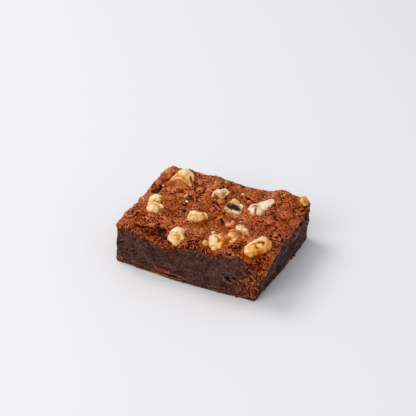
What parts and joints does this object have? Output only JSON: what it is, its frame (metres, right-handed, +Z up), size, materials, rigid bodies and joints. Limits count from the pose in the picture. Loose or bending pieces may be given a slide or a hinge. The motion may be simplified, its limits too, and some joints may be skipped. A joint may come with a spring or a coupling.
{
  "type": "chocolate brownie",
  "caption": "Rectangular cut of fudgy chocolate brownie with a crackled red-brown crust, dark knife-cut sides and walnut pieces baked into its uneven top.",
  "frame": {"origin": "middle of the slab's box, on the surface it lies on", "axes": "+X along the long side, from left to right as seen from the front cut; +Y from the front cut to the back cut; +Z up"},
  "size_m": [0.081, 0.0648, 0.0282],
  "materials": {
    "crumb": "dark fudgy chocolate crumb, dull to slightly moist, smeared by the knife, with small pores and crumbs",
    "crust": "baked red-brown chocolate crust, satin, crackled and pitted",
    "walnut": "toasted walnut kernel, pale cream to amber, satin with a slight oily gloss, dark skin in places"
  },
  "bodies": {
    "root": {"cake": "crumb", "walnut_back_left": "walnut", "walnut_corner": "walnut", "walnut_left": "walnut", "walnut_mid_left": "walnut", "walnut_front_left": "walnut", "walnut_fragment": "walnut", "walnut_front_centre": "walnut", "walnut_strip": "walnut", "walnut_front_right": "walnut", "walnut_upper_middle": "walnut", "walnut_dark_skin": "walnut", "walnut_right_middle": "walnut", "walnut_back_right": "walnut", "walnut_curl": "walnut"}
  },
  "joints": []
}
